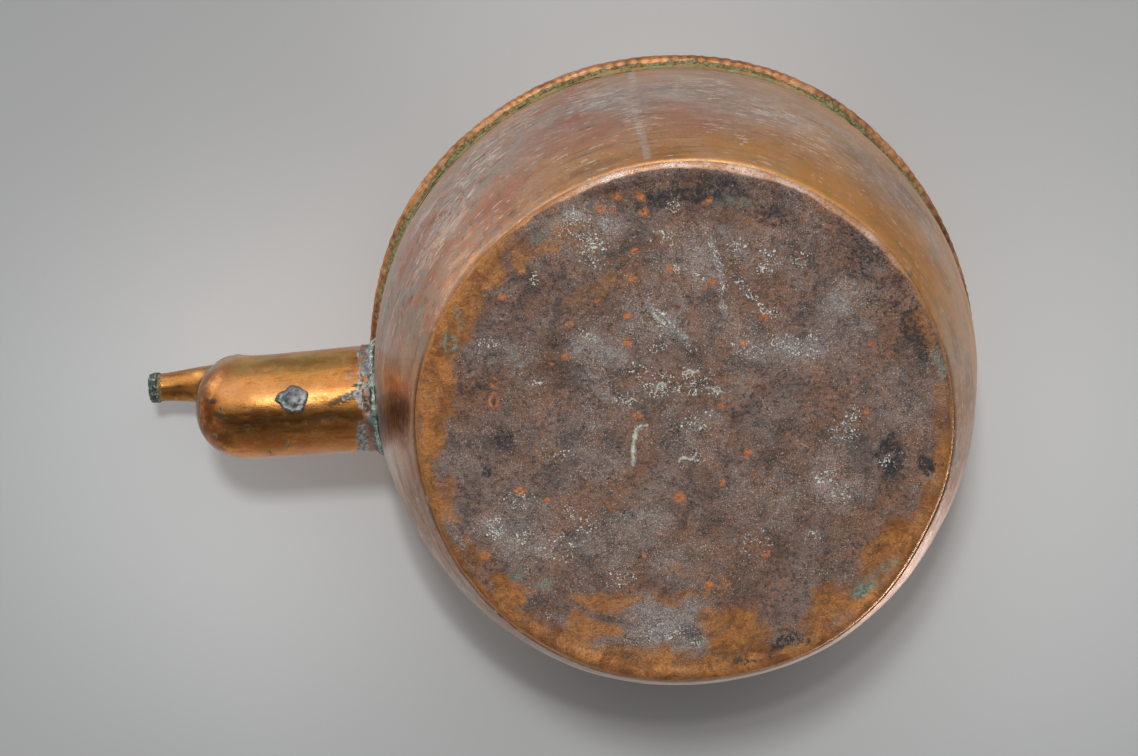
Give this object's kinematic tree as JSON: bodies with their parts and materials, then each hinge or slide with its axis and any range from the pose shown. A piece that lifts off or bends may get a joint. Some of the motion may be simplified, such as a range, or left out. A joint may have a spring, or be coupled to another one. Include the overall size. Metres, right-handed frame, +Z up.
{
  "type": "tea kettle",
  "caption": "Squat old copper tea kettle with a flat hammered bottom, a notched seam ring, a swan-necked spout, a lift-off lid with knob and a swinging bail handle.",
  "frame": {"origin": "centre of the flat underside", "axes": "+Z up as the kettle stands, +X along the spout, +Y to the left of the spout seen from behind; the bail's axis is parallel to X"},
  "size_m": [0.3129, 0.2268, 0.1771],
  "materials": {
    "base_copper": "oxidised, sooty, hammered",
    "wall_copper": "worn satin",
    "ring_copper": "hammered, green in the corners",
    "spout_copper": "tarnished satin",
    "verdigris_copper": "dark green verdigris",
    "solder": "dull lead grey",
    "handle_copper": "forged, dark patina",
    "rivet_copper": "peened",
    "knob_brass": "turned, dull"
  },
  "bodies": {
    "kettle": {"base_plate": "base_copper", "lower_body": "wall_copper", "shoulder_seam_ring": "ring_copper", "shoulder": "wall_copper", "lid_neck": "wall_copper", "spout_lower": "spout_copper", "spout_beak": "spout_copper", "spout_joint_solder": "solder", "spout_tip_rim": "verdigris_copper", "spout_root_solder": "solder", "spout_patch": "solder", "front_ear": "handle_copper", "rear_ear": "handle_copper", "front_ear_rivet_left": "rivet_copper", "front_ear_rivet_right": "rivet_copper", "rear_ear_rivet_left": "rivet_copper", "rear_ear_rivet_right": "rivet_copper", "front_pivot_pin": "rivet_copper", "rear_pivot_pin": "rivet_copper", "front_pivot_washer": "rivet_copper", "rear_pivot_washer": "rivet_copper"},
    "handle": {"bail": "handle_copper", "bail_grip": "handle_copper"},
    "lid": {"lid_dome": "wall_copper", "lid_skirt": "wall_copper", "lid_knob": "knob_brass", "knob_rivet": "rivet_copper", "knob_washer": "rivet_copper"}
  },
  "joints": [
    {"name": "bail_swing", "type": "hinge", "parent": "kettle", "child": "handle", "pos_m": [0, 0, 0.146], "axis": [-1, 0, 0], "range_deg": [0, 180]},
    {"name": "lid_lift", "type": "slide", "parent": "kettle", "child": "lid", "axis": [0, 0, 1], "range_m": [0, 0.04]}
  ]
}
